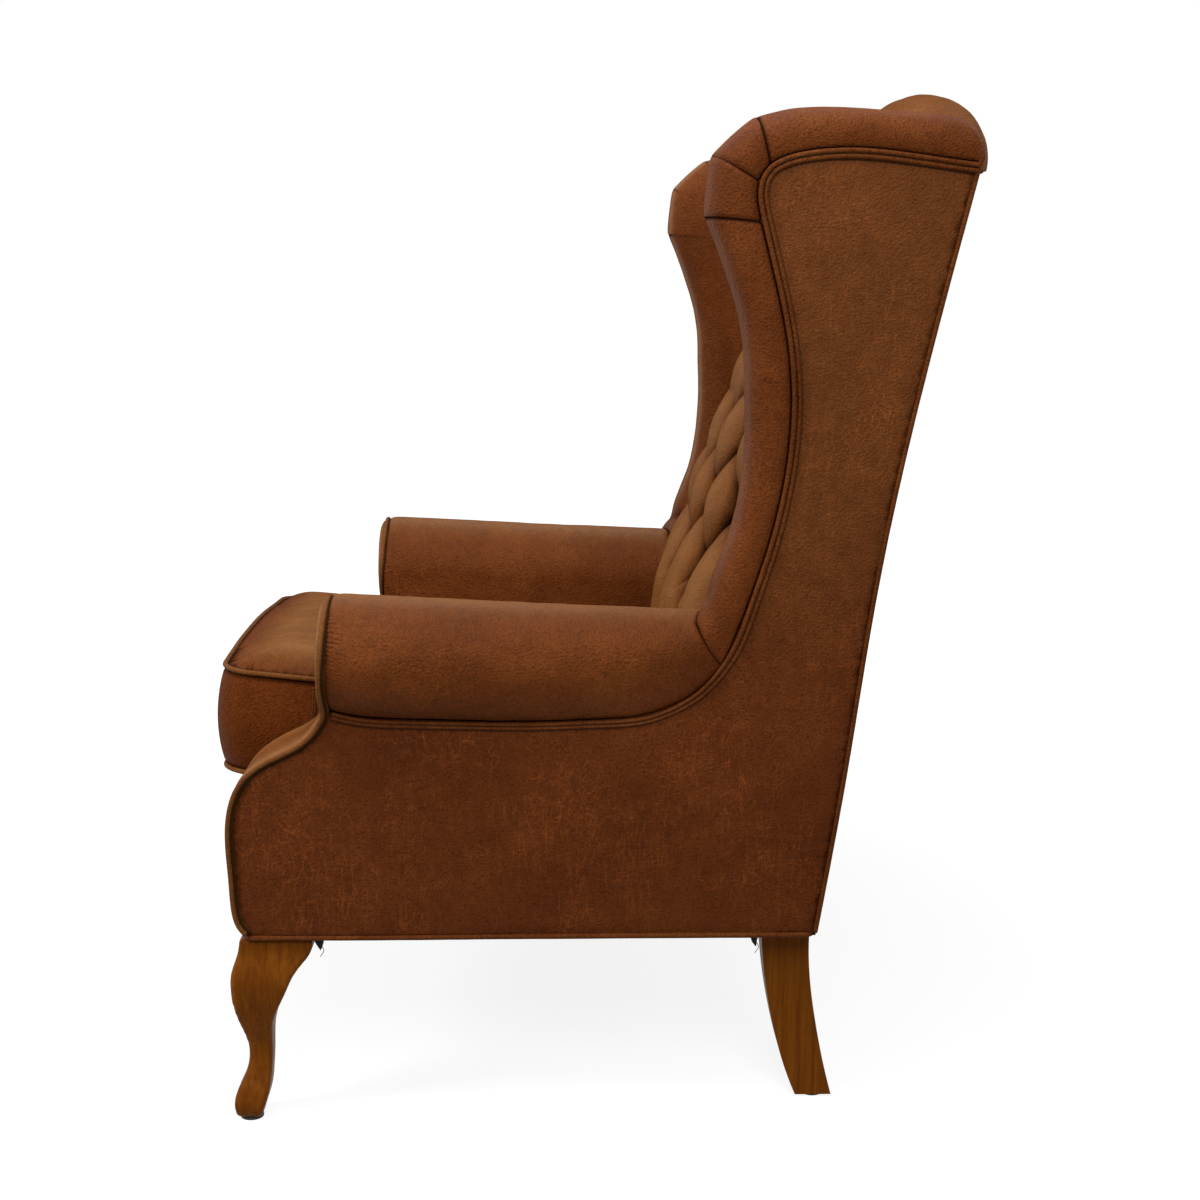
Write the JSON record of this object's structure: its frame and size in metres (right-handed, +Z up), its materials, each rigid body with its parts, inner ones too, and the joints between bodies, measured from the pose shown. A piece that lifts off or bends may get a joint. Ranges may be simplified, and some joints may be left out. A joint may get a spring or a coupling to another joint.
{
  "type": "upholstered armchair",
  "caption": "Leather wing armchair with a deep-buttoned back, rolled arms, a loose seat cushion, cabriole front legs and swept rear legs.",
  "frame": {"origin": "centre of the footprint on the floor", "axes": "+Z up, the sitter faces -Y, +X to the sitter's left"},
  "size_m": [0.804, 0.857, 1.162],
  "materials": {
    "leather": "waxed, mottled brown, satin",
    "side_leather": "waxed, mottled dark brown, satin",
    "trim_leather": "waxed dark brown, satin",
    "leg_wood": "stained honey brown, satin lacquer",
    "frame_wood": "bare sawn hardwood",
    "plywood": "bare plywood",
    "steel": "plated",
    "webbing": "woven jute",
    "black_cloth": "black non-woven cloth",
    "zip": "dark brown",
    "glide": "black"
  },
  "bodies": {
    "frame": {"arm_facing_left": "leather", "arm_facing_right": "leather", "arm_pad_left": "leather", "arm_pad_right": "leather", "arm_rail_left": "frame_wood", "arm_rail_right": "frame_wood", "arm_stump_left": "frame_wood", "arm_stump_right": "frame_wood", "back_buttons": "trim_leather", "back_lower_rail": "frame_wood", "back_pad": "leather", "back_post_left": "frame_wood", "back_post_right": "frame_wood", "back_webbing": "webbing", "base_piping": "trim_leather", "corner_blocks": "frame_wood", "crest_piping": "trim_leather", "crest_rail": "frame_wood", "crest_roll": "leather", "double_welt_left": "trim_leather", "double_welt_right": "trim_leather", "dust_cover": "black_cloth", "facing_piping_left": "trim_leather", "facing_piping_right": "trim_leather", "foot_glides": "glide", "front_border": "leather", "front_leg_left": "leg_wood", "front_leg_right": "leg_wood", "front_seat_rail": "frame_wood", "leg_bolts": "steel", "outside_back": "side_leather", "outside_panel_left": "side_leather", "outside_panel_right": "side_leather", "rear_leg_left": "leg_wood", "rear_leg_right": "leg_wood", "rear_leg_screws": "steel", "rear_piping_left": "trim_leather", "rear_piping_right": "trim_leather", "rear_seat_rail": "frame_wood", "seat_deck": "black_cloth", "seat_springs": "steel", "side_seat_rail_left": "frame_wood", "side_seat_rail_right": "frame_wood", "spring_clips": "steel", "tee_nuts": "steel", "wing_board_left": "plywood", "wing_board_right": "plywood", "wing_pad_left": "leather", "wing_pad_right": "leather"},
    "seat_cushion": {"cushion": "leather", "cushion_piping_bottom": "trim_leather", "cushion_piping_top": "trim_leather", "cushion_zip": "zip"}
  },
  "joints": [
    {"name": "cushion_lift", "type": "slide", "parent": "frame", "child": "seat_cushion", "axis": [0, 0, 1], "range_m": [0, 0.2]}
  ]
}
